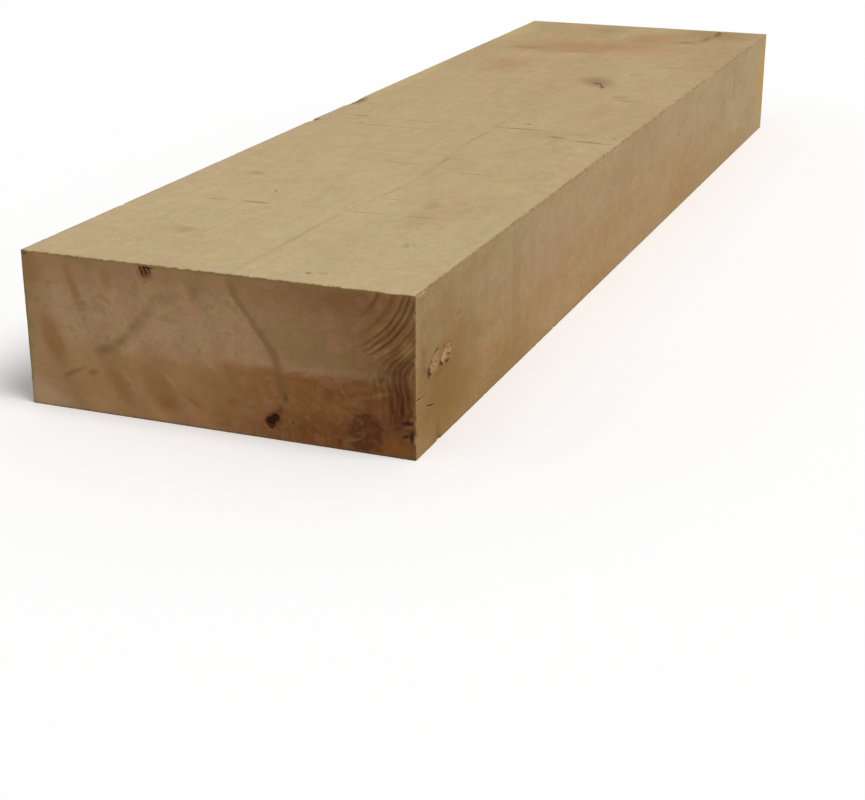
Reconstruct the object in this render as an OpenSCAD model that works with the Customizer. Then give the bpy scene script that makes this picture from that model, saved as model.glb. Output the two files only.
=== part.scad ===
// Sawn oak beam, lying on one wide face.
// X runs across the beam, Y along the grain and Z up.
// The origin is on the floor, under the middle of the beam, and the front end faces -Y.
// Every mark in the wood is placed from the edges that it lies nearest to.

/* [Beam] */
// Length along the grain
beam_l = 1000; // [800:10:3000]
// Width of the two wide faces
beam_w = 260; // [200:5:400]
// Thickness between the wide faces
beam_t = 100; // [75:5:200]
// Wear on the four long edges
edge_wear = 0.8; // [0.2:0.1:3]
// Wear on the edges round the two cross-cut ends
end_wear = 0.5; // [0.2:0.1:3]

/* [Knot hole in the front end] */
// From the right side to the middle of the hole
knot_hole_from_right = 92; // [60:1:120]
// From the underside to the middle of the hole
knot_hole_up = 11; // [9:1:30]
// Width of the hole over its two upper hollows
knot_hole_w = 10; // [6:0.5:14]
// Depth of the hole at its deepest
knot_hole_deep = 5; // [2:0.5:10]

/* [Bark pocket in the front end] */
// From the left side to the middle of the pocket
bark_from_left = 86; // [60:1:120]
// Wood left between the pocket and the top face
bark_below_top = 1.6; // [1.2:0.1:4]
// Width of the pocket along the top edge
bark_w = 8; // [6:0.5:16]
// Height of the tallest gap in the pocket
bark_h = 7; // [4:0.5:14]
// Depth of the pocket
bark_deep = 5; // [2:0.5:12]
// Gaps between the slivers of bark
bark_gaps = 3; // [2:1:4]
// Width of each gap at its top
bark_gap_w = 1.6; // [0.8:0.1:2]

/* [Torn grain in the right side] */
// From the front end to the middle of the torn place
torn_from_front = 38; // [28:1:120]
// From the underside to the middle of the torn place
torn_up = 51; // [35:1:60]
// Length of the torn place, along the grain
torn_l = 34; // [24:1:44]
// Height of the torn place
torn_h = 13; // [9:1:16]
// Depth of the torn place
torn_deep = 2.6; // [1.5:0.1:4]
// Slope of its two tongues against the grain, in degrees
torn_slope = 34; // [20:1:40]
// Thickness of each lifted splinter
splinter_t = 1.4; // [0.8:0.1:2]
// Gap between each splinter and the sound wood beside it
splinter_gap = 1.2; // [0.6:0.1:2]
// Tilt of the splinters out of the torn place, in degrees
splinter_lift = 9; // [6:0.5:12]

/* [Knot in the top face] */
// From the right side to the middle of the knot
top_knot_from_right = 81; // [50:1:110]
// From the front end to the middle of the knot
top_knot_from_front = 650; // [560:5:760]
// Length of the crack across the knot
top_knot_l = 22; // [12:1:34]
// Width of the crack across the knot
top_knot_w = 2; // [1:0.5:5]
// Depth of the crack across the knot
top_knot_deep = 3; // [1:0.5:8]
// Slope of the crack against the width of the beam, in degrees
top_knot_slope = -66; // [-90:1:90]
// Width of the shallow hollow round the crack
top_knot_hollow = 30; // [18:1:40]
// Depth of the shallow hollow round the crack
top_knot_hollow_deep = 0.5; // [0.2:0.1:1.5]

/* [Split in the top face] */
// From the right side to the split, at the back end
split_from_right = 48; // [30:1:90]
// Length of the split, in from the back end
split_l = 96; // [50:2:160]
// Width of the split at the back end
split_w = 1.2; // [0.8:0.2:4]
// Depth of the split below the top face
split_deep = 16; // [6:1:40]
// How far the inner end swings towards the middle of the beam
split_swing = 26; // [0:1:40]

/* [Saw lines in the top face] */
// From the front end to the short saw line
short_line_from_front = 445; // [435:5:520]
// From the left side to where the short saw line starts
short_line_from_left = 152; // [120:1:156]
// From the right side to where the short saw line ends
short_line_from_right = 34; // [10:1:38]
// From the front end to the long saw line
long_line_from_front = 417; // [300:1:430]
// From either side to the ends of the long saw line
long_line_from_sides = 12; // [6:1:60]
// From the front end to the faint saw line
faint_line_from_front = 157; // [80:1:220]
// From either side to the ends of the faint saw line
faint_line_from_sides = 44; // [6:1:80]
// Width of each saw line
saw_line_w = 1.4; // [0.6:0.2:3]
// Depth of each saw line
saw_line_deep = 0.4; // [0.2:0.1:1]

/* [Edge of the tree, on the top left edge] */
// From the front end to the middle of the missing edge
wane_from_front = 502; // [440:1:600]
// Length of the missing edge
wane_l = 46; // [20:2:80]
// Depth of wood that is missing there
wane_deep = 1.6; // [0.6:0.2:3]

/* [Drying cracks in the right side] */
// Width of each crack
crack_w = 0.9; // [0.5:0.1:2]
// Depth of each crack
crack_deep = 4; // [1:0.5:12]

/* [Hidden] */
$fn = 96;

// How far a cutting shape stands out of the wood
past = 1;

// The cracks: distance from the front end, height, length and slope in degrees.
// The first one runs out through the front end.
CRACKS = [[3, 36.4, 26, -4], [23, 26.5, 14, -14]];

// The chips in three of the long edges: distance from the front end, length and depth
TOP_RIGHT_CHIPS = [[9, 17, 2], [38, 5, 1], [57, 7, 1.2], [926, 9, 1.4], [769, 7, 1]];
TOP_LEFT_CHIPS = [[415, 12, 1.4], [118, 8, 1]];
LOW_RIGHT_CHIPS = [[36, 8, 2.4], [118, 5, 1], [262, 6, 1.2]];

// The chips in the upright edge at the front right: height, length and depth
UPRIGHT_CHIPS = [[62, 6, 1.2], [24, 7, 1.4], [14, 9, 2], [88, 5, 1]];

// Section of the wood in one plane, with its four corners worn off
module worn(a, b, wear) {
    polygon([
        for (p = [[-1, -1], [1, -1], [1, 1], [-1, 1]])
            let (
                along = [p[0] * (a / 2 - wear), p[1] * b / 2],
                up = [p[0] * a / 2, p[1] * (b / 2 - wear)]
            )
            for (q = p[0] * p[1] > 0 ? [up, along] : [along, up]) q
    ]);
}

// The sawn block before any of its marks
module sawn_block() {
    translate([0, 0, beam_t / 2])
        intersection() {
            rotate([90, 0, 0])
                linear_extrude(beam_l, center = true) worn(beam_w, beam_t, edge_wear);
            linear_extrude(beam_t, center = true) worn(beam_w, beam_l, end_wear);
            rotate([90, 0, 90])
                linear_extrude(beam_w, center = true) worn(beam_l, beam_t, end_wear);
        }
}

// Puts a shape on the front end, with its Y up the end and its Z out of the wood
module on_front_end(from_right, up) {
    translate([beam_w / 2 - from_right, -beam_l / 2, up])
        rotate([90, 0, 0]) children();
}

// Puts a shape on the right side, with its X along the grain and its Z out of the wood
module on_right_side(from_front, up) {
    translate([beam_w / 2, from_front - beam_l / 2, up])
        rotate([90, 0, 90]) children();
}

// Puts a shape on the top face, with its Z out of the wood
module on_top(from_right, from_front) {
    translate([beam_w / 2 - from_right, from_front - beam_l / 2, beam_t]) children();
}

// A crack: pointed at both ends, with straight walls
module crack(length, width, deep) {
    translate([0, 0, -deep])
        linear_extrude(deep + past)
            polygon([[-length / 2, 0], [0, -width / 2], [length / 2, 0], [0, width / 2]]);
}

// A ball that dips into a face, and meets it in a circle of this width
module dip(width, deep) {
    r = (width * width / 4 + deep * deep) / (2 * deep);
    translate([0, 0, r - deep]) sphere(r);
}

// A ball that bites into an edge. The edge runs along Y and the wood lies towards -X and -Z.
module bite(length, deep) {
    r = (length * length / 4 + deep * deep) / (2 * deep);
    translate([1, 0, 1] * (r - deep) / sqrt(2)) sphere(r);
}

// The knot hole: three hollows that run together and narrow inwards.
// Each is placed and sized as a share of the widest one.
module knot_hole() {
    hollows = [[-0.5, -0.1, 1], [0.5, 0.8, 0.75], [-0.45, -0.75, 0.6]];
    widest_r = knot_hole_w / 2.75;
    on_front_end(knot_hole_from_right, knot_hole_up)
        for (h = hollows)
            translate([h[0] * widest_r, h[1] * widest_r, -knot_hole_deep * h[2]])
                cylinder(
                    h = knot_hole_deep * h[2] + past,
                    r1 = widest_r * h[2] / 3,
                    r2 = widest_r * h[2]
                );
}

// The bark pocket: slanting gaps side by side, each shorter than the last,
// that open from one narrow slit below the top edge
module bark_pocket() {
    pitch = bark_w / bark_gaps;
    on_front_end(beam_w - bark_from_left, beam_t - bark_below_top)
        translate([-bark_w / 2, 0, -bark_deep])
            linear_extrude(bark_deep + past) {
                translate([0, -bark_gap_w / 2]) square([bark_w, bark_gap_w / 2]);
                for (i = [0 : bark_gaps - 1])
                    let (h = bark_h * (1 - i / (bark_gaps + 2)))
                    translate([i * pitch, 0])
                        polygon([
                            [0, 0],
                            [bark_gap_w, 0],
                            [pitch + bark_gap_w / 2, -h],
                            [pitch, -h]
                        ]);
            }
}

// How far from the middle of the torn place each of its two tongues has its own middle
function tongue_reach() = (torn_l - torn_l / 2 * cos(torn_slope)) / 2;

// Outline of one tongue, which is round at both ends. It is drawn in from its real edge by the gap.
module tongue_outline(gap) {
    tongue_l = torn_l / 2;
    tongue_h = torn_h * 0.6;
    rotate(torn_slope) {
        square([tongue_l - tongue_h, tongue_h - 2 * gap], center = true);
        for (e = [-1, 1])
            translate([e * (tongue_l - tongue_h) / 2, 0]) circle(tongue_h / 2 - gap);
    }
}

// Puts a shape in each of the two tongues, which lie side by side along the grain
module in_both_tongues() {
    on_right_side(torn_from_front, torn_up)
        for (s = [-1, 1])
            translate([s * tongue_reach(), 0, 0]) children();
}

// The torn place in the right side. In each tongue a shallow ball took the wood out.
module torn_hollow() {
    in_both_tongues()
        intersection() {
            translate([0, 0, -torn_deep])
                linear_extrude(torn_deep + past) tongue_outline(0);
            dip(torn_l * 0.65, torn_deep);
        }
}

// The splinter that the saw lifted in each tongue.
// It is rooted at the back of its tongue and rises to the face at its front.
module splinters() {
    in_both_tongues()
        intersection() {
            translate([0, 0, -torn_deep - splinter_t])
                linear_extrude(torn_deep + splinter_t) tongue_outline(splinter_gap);
            translate([torn_l / 8, 0, -torn_deep])
                rotate([0, splinter_lift, 0])
                    translate([-torn_l, -torn_h, -splinter_t])
                        cube([torn_l * 1.5, torn_h * 2, splinter_t]);
        }
}

// The knot in the top face: a shallow hollow with a slanting crack
module top_knot() {
    on_top(top_knot_from_right, top_knot_from_front) {
        dip(top_knot_hollow, top_knot_hollow_deep);
        rotate(top_knot_slope) crack(top_knot_l, top_knot_w, top_knot_deep);
    }
}

// The split: widest at the back end, and swinging to the left as it closes
module split() {
    steps = [0 : 1 / 8 : 1];
    function middle(s) = [-split_swing * pow(s, 4), -split_l * s];
    function half(s) = split_w / 2 * (1 - 0.75 * s);
    on_top(split_from_right, beam_l)
        translate([0, 0, -split_deep])
            linear_extrude(split_deep + past)
                polygon(concat(
                    [[-half(0), past], [half(0), past]],
                    [for (s = steps) middle(s) + [half(s), 0]],
                    [for (s = steps) middle(1 - s) - [half(1 - s), 0]]
                ));
}

// A line across the top face where the saw stopped, with sloping walls
module saw_line(left, right, from_front) {
    length = beam_w - left - right;
    on_top(right + length / 2, from_front)
        rotate([90, 0, 90])
            linear_extrude(length, center = true)
                polygon([
                    [-saw_line_w, saw_line_deep],
                    [0, -saw_line_deep],
                    [saw_line_w, saw_line_deep]
                ]);
}

module saw_lines() {
    saw_line(short_line_from_left, short_line_from_right, short_line_from_front);
    saw_line(long_line_from_sides, long_line_from_sides, long_line_from_front);
    saw_line(faint_line_from_sides, faint_line_from_sides, faint_line_from_front);
}

// The edge of the tree, where the outermost wood fell short of the saw
module wane() {
    on_top(beam_w, wane_from_front) mirror([1, 0, 0]) bite(wane_l, wane_deep);
}

module drying_cracks() {
    for (c = CRACKS)
        on_right_side(c[0], c[1]) rotate(c[3]) crack(c[2], crack_w, crack_deep);
}

module edge_chips() {
    for (c = TOP_RIGHT_CHIPS)
        on_top(0, c[0]) bite(c[1], c[2]);
    for (c = TOP_LEFT_CHIPS)
        on_top(beam_w, c[0]) mirror([1, 0, 0]) bite(c[1], c[2]);
    for (c = LOW_RIGHT_CHIPS)
        translate([beam_w / 2, c[0] - beam_l / 2, 0]) mirror([0, 0, 1]) bite(c[1], c[2]);
    for (c = UPRIGHT_CHIPS)
        translate([beam_w / 2, -beam_l / 2, c[0]]) rotate([90, 0, 0]) bite(c[1], c[2]);
}

module beam() {
    color("tan") {
        difference() {
            sawn_block();
            knot_hole();
            bark_pocket();
            torn_hollow();
            top_knot();
            split();
            saw_lines();
            wane();
            drying_cracks();
            edge_chips();
        }
        splinters();
    }
}

beam();
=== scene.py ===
import itertools
import math

import bmesh
import bpy
import numpy as np
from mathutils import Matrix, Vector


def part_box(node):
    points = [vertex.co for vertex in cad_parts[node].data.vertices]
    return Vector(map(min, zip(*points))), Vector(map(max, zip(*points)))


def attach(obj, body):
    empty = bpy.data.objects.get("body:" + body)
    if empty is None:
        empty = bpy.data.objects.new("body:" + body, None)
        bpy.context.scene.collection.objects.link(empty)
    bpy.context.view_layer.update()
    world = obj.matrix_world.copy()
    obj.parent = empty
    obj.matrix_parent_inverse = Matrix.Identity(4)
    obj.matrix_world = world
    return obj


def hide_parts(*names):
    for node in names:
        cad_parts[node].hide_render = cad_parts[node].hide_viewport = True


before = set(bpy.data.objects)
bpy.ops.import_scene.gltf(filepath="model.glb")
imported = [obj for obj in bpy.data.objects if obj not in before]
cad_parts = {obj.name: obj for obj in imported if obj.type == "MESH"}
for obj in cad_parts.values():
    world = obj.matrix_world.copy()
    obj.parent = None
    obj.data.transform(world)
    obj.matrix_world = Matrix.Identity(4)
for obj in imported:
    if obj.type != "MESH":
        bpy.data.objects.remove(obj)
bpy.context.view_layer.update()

# The view. The camera stands before the near end of the beam, to its right and above it,
# about a metre and a half away, so that the end, the top and the right side all show.
camera_place = (0.4729, -1.3484, 0.3870)
camera_turn = math.radians(21.42)
camera_drop = math.radians(20.88)
camera = bpy.data.objects.new("camera", bpy.data.cameras.new("camera"))
camera.data.sensor_width = 36
camera.data.lens = 71.4
camera.location = camera_place
camera.rotation_euler = (math.pi / 2 - camera_drop, 0, camera_turn)
bpy.context.collection.objects.link(camera)
bpy.context.scene.camera = camera
bpy.context.scene.view_settings.view_transform = "Standard"

# The studio. The beam lies on a plain white floor that has no edge in sight, under an
# even white sky and one broad lamp, high up on the right.
floor_reach = 30
floor_seen = (1, 1, 1, 1)
floor_felt = (0.42, 0.42, 0.42, 1)
sky_felt = (0.46, 0.46, 0.46, 1)
sky_seen = (1, 1, 1, 1)
lamp_strength = 1.95
lamp_from = (0.50, -0.12, 0.86)
lamp_spread = math.radians(35)


def seen_directly(tree):
    """Gives 1 where a ray comes from the camera or off a mirror, and 0 where it only lights."""
    path = tree.nodes.new("ShaderNodeLightPath")
    seen = path.outputs["Is Camera Ray"]
    for other in ("Is Glossy Ray", "Is Transmission Ray"):
        either = tree.nodes.new("ShaderNodeMath")
        either.operation = "MAXIMUM"
        tree.links.new(seen, either.inputs[0])
        tree.links.new(path.outputs[other], either.inputs[1])
        seen = either.outputs[0]
    return seen


def two_faced(tree, felt, seen):
    """Gives one colour to light by, and another to be seen."""
    pick = tree.nodes.new("ShaderNodeMix")
    pick.data_type = "RGBA"
    pick.inputs["A"].default_value = felt
    pick.inputs["B"].default_value = seen
    tree.links.new(seen_directly(tree), pick.inputs["Factor"])
    return pick.outputs["Result"]


floor_mesh = bpy.data.meshes.new("floor")
floor_mesh.from_pydata(
    [(x * floor_reach, y * floor_reach, 0) for x, y in ((-1, -1), (1, -1), (1, 1), (-1, 1))],
    [],
    [(0, 1, 2, 3)],
)
floor = bpy.data.objects.new("floor", floor_mesh)
bpy.context.collection.objects.link(floor)
floor_paint = bpy.data.materials.new("floor")
floor_paint.use_nodes = True
floor_shader = floor_paint.node_tree.nodes["Principled BSDF"]
floor_shader.inputs["Roughness"].default_value = 1
floor_shader.inputs["Specular IOR Level"].default_value = 0
floor_paint.node_tree.links.new(
    two_faced(floor_paint.node_tree, floor_felt, floor_seen), floor_shader.inputs["Base Color"]
)
floor_mesh.materials.append(floor_paint)

sky = bpy.data.worlds.new("sky")
sky.use_nodes = True
sky.node_tree.links.new(
    two_faced(sky.node_tree, sky_felt, sky_seen),
    sky.node_tree.nodes["Background"].inputs["Color"],
)
bpy.context.scene.world = sky

lamp = bpy.data.objects.new("lamp", bpy.data.lights.new("lamp", "SUN"))
lamp.data.energy = lamp_strength
lamp.data.angle = lamp_spread
lean = math.atan2(math.hypot(lamp_from[0], lamp_from[1]), lamp_from[2])
lamp.rotation_euler = (0, lean, math.atan2(lamp_from[1], lamp_from[0]))
bpy.context.collection.objects.link(lamp)

# The sawn block. One piece of oak, cut from the log by a band mill and cross-cut at both
# ends. It is worked in millimetres, as a grid that is made finer where the wood is marked.
to_mm = 1000
low, high = (np.round(np.array(corner) * to_mm, 3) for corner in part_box("beam"))
left, front, floor_level = low
right, back, top = high
half_up = top / 2
across_pitch = 8.5
along_pitch = 2.5
edge_rows = np.array([0, 0.3, 0.7, 1.2, 2, 3.5])
edge_band = 6

# Where the saw stopped on the top face: each line's place, its two ends and its strength
saw_lines = [
    (front + 445, left + 152, right - 34, 1),
    (front + 417, left + 12, right - 12, 1),
    (front + 157, left + 44, right - 44, 0.8),
]
saw_line_half, saw_line_deep = 0.7, 0.4
saw_line_rows = np.array([-1.6, -0.9, -0.4, 0, 0.4, 0.9, 1.6])


def rows(a, b, pitch, more=()):
    """Grid lines from a to b, close together by both edges and evenly spaced between them."""
    inner_count = round((b - a - 2 * edge_band) / pitch) + 1
    inner = np.linspace(a + edge_band, b - edge_band, inner_count)
    return np.unique(np.round(np.concatenate([a + edge_rows, inner, b - edge_rows, *more]), 3))


grid = (
    rows(left, right, across_pitch),
    rows(front, back, along_pitch, [line + saw_line_rows for line, *_ in saw_lines]),
    rows(floor_level, top, across_pitch),
)
count = [len(lines) for lines in grid]
corner_of = {}
corners, quads = [], []


def corner(*ijk):
    """The number of a grid corner on the block's surface, made the first time it is asked for."""
    if ijk not in corner_of:
        corner_of[ijk] = len(corners)
        corners.append([grid[axis][ijk[axis]] for axis in range(3)])
    return corner_of[ijk]


for axis in range(3):
    u, v = (axis + 1) % 3, (axis + 2) % 3
    for side, turn in ((0, -1), (count[axis] - 1, 1)):
        for i in range(count[u] - 1):
            for j in range(count[v] - 1):
                ring = []
                for di, dj in ((0, 0), (1, 0), (1, 1), (0, 1))[::turn]:
                    at = [0, 0, 0]
                    at[axis], at[u], at[v] = side, i + di, j + dj
                    ring.append(corner(*at))
                quads.append(ring)

# The marks in the wood that have a shape of their own. The saw tore some grain out near the
# front, a knot rotted at the front end and another shows in the top, a scrap of bark grew
# in, and the back end split as it dried. Each stands where the solid has it.
torn_place = np.array([right, front + 38, 51])
torn_length, torn_height, torn_deep, torn_slope = 34, 13, 2.6, math.radians(34)
knot_hole_place = np.array([right - 92, front, 11])
knot_hole_width, knot_hole_deep = 10, 5
bark_place = np.array([left + 86, front, top - 1.6])
bark_width, bark_height, bark_deep = 8, 7, 5
bark_gaps, bark_gap = 3, 1.6
top_knot_place = np.array([right - 81, front + 650, top])
top_knot_length, top_knot_deep, top_knot_slope = 22, 3, math.radians(-66)
top_knot_hollow_width, top_knot_hollow_deep = 30, 0.5
split_place = np.array([right - 48, back, top])
split_length, split_width, split_deep, split_swing = 96, 1.2, 16, 26
wane_place = np.array([left, front + 502, top])
wane_length, wane_deep = 46, 1.6

# The drying cracks: distance from the front end, height, length and slope in degrees
drying_cracks = [(3, 36.4, 26, -4), (23, 26.5, 14, -14)]
drying_crack_half, drying_crack_deep = 0.42, 4

# The edges that are chipped: where each starts, the way it runs and the way out of the wood
edges = {
    "top right": ((right, front, top), (0, 1, 0), (1, 0, 1)),
    "top left": ((left, front, top), (0, 1, 0), (-1, 0, 1)),
    "low right": ((right, front, floor_level), (0, 1, 0), (1, 0, -1)),
    "front right": ((right, front, floor_level), (0, 0, 1), (1, -1, 0)),
}

# The chips: the edge, the distance along it, the length and the depth
chips = [
    ("top right", 9, 17, 2),
    ("top right", 38, 5, 1),
    ("top right", 57, 7, 1.2),
    ("top right", 926, 9, 1.4),
    ("top right", 769, 7, 1),
    ("top left", 415, 12, 1.4),
    ("top left", 118, 8, 1),
    ("low right", 36, 8, 1.6),
    ("low right", 118, 5, 1),
    ("low right", 262, 6, 1.2),
    ("front right", 62, 6, 1.2),
    ("front right", 24, 7, 1.4),
    ("front right", 14, 9, 2),
    ("front right", 88, 5, 1),
]

# Where the grid has to be finer: the middle, the reach each way and the size of grid there
fine = [
    (torn_place, (3, 20, 10), 0.4),
    (knot_hole_place, (7, 2, 7), 0.4),
    (bark_place - (0, 0, 4), (6, 2, 4.5), 0.35),
    (top_knot_place, (7, 13, 2), 0.55),
    (wane_place, (4, 24, 4), 0.9),
    ((0, front, half_up), (right, 1, half_up), 2.4),
    ((0, back, half_up), (right, 1, half_up), 3.2),
    ((0, front, top), (right, 1, 1), 1.1),
    ((right, front, half_up), (1, 1, half_up), 0.9),
    ((right - 18, front, 58), (18, 1, 42), 1.3),
    (split_place - (0, 0, 8), (2.5, 2, 8), 0.5),
]
fine += [
    ((right, front + y, z), (1, length / 2 + 0.5, 1.2), 0.35)
    for y, z, length, slope in drying_cracks
]


def split_middle(s):
    """Where the split runs, with s from 0 at the back end to 1 at its tip."""
    return split_place[0] - split_swing * s**4, back - split_length * s


for s in np.linspace(0.05, 1, 14):
    fine.append(((*split_middle(s), top), (1.5, 4, 1), 0.5))


def chip_middle(edge, along):
    """The point on an edge where a chip sits, and the way out of the wood there."""
    start, way, out = (np.array(part, float) for part in edges[edge])
    return start + way * along, out / np.linalg.norm(out)


for edge, along, length, deep in chips:
    middle, out = chip_middle(edge, along)
    way = np.array(edges[edge][1])
    fine.append((middle, way * length / 2 + (1 - way) * deep * 1.2, 0.5))


def wanted(points):
    """How fine the grid has to be at each point."""
    size = np.full(len(points), np.inf)
    for middle, reach, least in fine:
        outside = np.maximum(np.abs(points - np.array(middle)) - np.array(reach), 0)
        size = np.minimum(size, least + 0.5 * np.linalg.norm(outside, axis=1))
    return size


most_rounds = 6
too_long = 1.4
block = bpy.data.meshes.new("oak_beam")
block.from_pydata(corners, [], quads)
shaped = bmesh.new()
shaped.from_mesh(block)
for _ in range(most_rounds):
    ends = np.array([[v.co for v in e.verts] for e in shaped.edges])
    length = np.linalg.norm(ends[:, 0] - ends[:, 1], axis=1)
    long = length > wanted(ends.mean(axis=1)) * too_long
    if not long.any():
        break
    split_these = [e for e, is_long in zip(shaped.edges, long) if is_long]
    bmesh.ops.subdivide_edges(shaped, edges=split_these, cuts=1, use_grid_fill=True)
bmesh.ops.triangulate(shaped, faces=[f for f in shaped.faces if len(f.verts) > 4])
shaped.to_mesh(block)
shaped.free()
place = np.array([v.co for v in block.vertices], float)
on_top = np.isclose(place[:, 2], top)
on_front = np.isclose(place[:, 1], front)
on_right = np.isclose(place[:, 0], right)
on_end = on_front | np.isclose(place[:, 1], back)


def ease(value, start, end):
    """Runs smoothly from 0 at start to 1 at end."""
    t = np.clip((value - start) / (end - start), 0, 1)
    return t * t * (3 - 2 * t)


lattice_side = 32
lattice = np.random.default_rng(11).uniform(-1, 1, (lattice_side,) * 3)


def rough(points, size):
    """Smooth bumps between -1 and 1, of the given size, alike on every run."""
    cell = np.floor(points / size).astype(int)
    part = points / size - cell
    part = part * part * (3 - 2 * part)
    height = 0
    for step in itertools.product((0, 1), repeat=3):
        weight = np.prod(np.where(step, part, 1 - part), axis=1)
        height = height + weight * lattice[tuple((cell + step).T % lattice_side)]
    return height


def turned(a, b, angle):
    """The same point, read along axes that are turned by the angle."""
    return a * np.cos(angle) + b * np.sin(angle), b * np.cos(angle) - a * np.sin(angle)


# The saw left shallow waves across the faces, a little over a tenth of a millimetre deep, and
# the arrises have worn to a small and uneven round. Nothing stands out past the sawn size.
wave_length = 9.5
wave_deep = 0.13
ripple_deep = 0.06
end_marks_deep = 0.05
least_wear = 0.45
wander = rough(place + 40, np.array([90, 30, 90]))
strong = 0.5 + 0.5 * rough(place + 90, np.array([60, 45, 60]))
waves = wave_deep * strong * (1 + np.sin(2 * np.pi * (place[:, 1] / wave_length + wander))) / 2
waves += ripple_deep * (1 + rough(place, np.array([14, 3.5, 14]))) / 2
waves[on_end] = end_marks_deep * (1 + rough(place, np.array([9, 9, 3])))[on_end]
wear = least_wear + 0.3 * (1 + rough(place + 5, 6)) * (1 + rough(place + 70, 31)) / 2
wear += 0.35 * ease(rough(place + 21, 2.6), 0.2, 0.8)
core = np.clip(place, low + wear[:, None], high - wear[:, None])
out_of_core = place - core
reach = np.linalg.norm(out_of_core, axis=1)
new_place = core + out_of_core * (wear / reach)[:, None]
for axis in range(3):
    for limit, way in ((low[axis], 1), (high[axis], -1)):
        there = np.isclose(place[:, axis], limit)
        if (axis, way) != (2, 1):
            new_place[there, axis] += way * waves[there]


def bite(middle, out, length, deep, grit):
    """Takes a ball's bite out of an edge, with a broken surface."""
    radius = (length**2 / 4 + deep**2) / (2 * deep)
    from_centre = new_place - (middle + out * (radius - deep))
    near = np.linalg.norm(from_centre, axis=1) < radius + grit
    rim = radius + grit * rough(place[near] * (1, 0.6, 1), 1.7)
    along = from_centre[near] @ out
    inside = along**2 - (from_centre[near] ** 2).sum(axis=1) + rim**2
    sink = np.where(inside > 0, along + np.sqrt(np.maximum(inside, 0)), 0)
    new_place[near] -= out * np.maximum(sink, 0)[:, None]


for edge, along, length, deep in chips:
    middle, out = chip_middle(edge, along)
    bite(middle, out, length, deep, 0.3)
bite(wane_place, np.array([-1, 0, 1]) / math.sqrt(2), wane_length, wane_deep, 0.7)

# The pits. Each is read in the plane of its face, as a depth below the sawn surface, and gets
# painted shade where it is deep.
pit_shade = np.zeros(len(place))
splinter_highlight = np.zeros(len(place))


def sink(where, axis, way, depth, painted_shade=None):
    """Lets the surface down into the wood, and notes the painted shade down there."""
    new_place[where, axis] -= way * depth[where]
    if painted_shade is not None:
        pit_shade[where] = np.maximum(pit_shade[where], painted_shade[where])


x, y, z = place.T
fuzz = rough(place, 2.2)

# The knot hole: four hollows that run together, each with its place and its size as shares
hollows = [(-0.5, -0.1, 1), (0.05, 0.4, 0.74), (0.5, 0.8, 0.75), (-0.45, -0.75, 0.6)]
widest = knot_hole_width / 2.75
depth = np.zeros(len(place))
for across, up, share in hollows:
    from_middle = np.hypot(
        x - knot_hole_place[0] - across * widest, z - knot_hole_place[2] - up * widest
    )
    from_middle += 0.45 * fuzz
    slope = np.clip((widest * share - from_middle) / (widest * share * 0.55), 0, 1)
    depth = np.maximum(depth, knot_hole_deep * share * slope)
sink(on_front, 1, -1, depth, ease(depth, 0, 1.4))

# The bark pocket: slanting gaps side by side, each shorter than the one before
pitch = bark_width / bark_gaps
depth = np.zeros(len(place))
beside = x - bark_place[0] + bark_width / 2
below = bark_place[2] - z + 0.3 * fuzz
for gap in range(bark_gaps):
    share = below / (bark_height * (1 - gap / (bark_gaps + 2)))
    lean_in = gap * pitch + pitch * share
    inside = np.minimum(beside - lean_in, lean_in + bark_gap * (1 - share / 2) - beside)
    inside = np.minimum(inside, np.minimum(below, (1 - share) * 3))
    depth = np.maximum(depth, bark_deep * ease(inside, 0, 0.45))
sink(on_front, 1, -1, depth, ease(depth, 0, 1.5))

# The knot in the top: a crack in a shallow hollow
along_crack, off_crack = turned(x - top_knot_place[0], y - top_knot_place[1], top_knot_slope)
knot_hollow = 1 - ease(np.hypot(along_crack, off_crack), 0, top_knot_hollow_width / 2)
in_crack = 1 - np.abs(along_crack + fuzz) / (top_knot_length / 2) - np.abs(off_crack)
depth = top_knot_hollow_deep * knot_hollow + top_knot_deep * ease(in_crack, 0, 0.8)
sink(on_top, 2, 1, depth, 0.6 * ease(depth, 0.6, 2.2))

for from_front, up, length, slope in drying_cracks:
    lengthwise, sideways = turned(y - front - from_front, z - up, math.radians(slope))
    open_half = drying_crack_half * (1 - np.abs(lengthwise) / (length / 2))
    open_half -= np.abs(sideways + 0.25 * fuzz)
    depth = drying_crack_deep * ease(open_half, -0.12, 0.25)
    sink(on_right, 0, 1, depth, ease(depth, 0, 1.5) * (0.8 - 0.5 * ease(lengthwise, -1, 6)))

# The split goes straight down, so the top face and the back end are let down to its floor.
s = np.clip((back - y) / split_length, 0, 1)
middle_x = split_middle(s)[0] + 0.3 * rough(place, 4)
open_half = split_width / 2 * (1 - 0.75 * s) - np.abs(x - middle_x)
open_half[back - y > split_length] = -split_width
depth = split_deep * ease(open_half, -0.15, 0.35)
# Painted shade in the split, darker as it goes deeper.
pit_shade = np.maximum(pit_shade, ease(depth, 0, 3) * (z > top - split_deep - 1) * (on_top | on_end))
in_split = (depth > 0) & (on_top | (on_end & (y > 0)))
new_place[in_split, 2] = np.minimum(new_place, top - depth[:, None])[in_split, 2]

for line, start, stop, strength in saw_lines:
    across = ease(x, start - 2, start + 6) * ease(-x, -stop - 2, -stop + 6)
    across *= 0.35 + 0.65 * ease(rough(place, np.array([7, 50, 7])), -0.5, 0.5)
    in_line = np.clip(1 - np.abs(y - line) / saw_line_half, 0, None)
    sink(on_top, 2, 1, strength * across * saw_line_deep * in_line)
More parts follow.
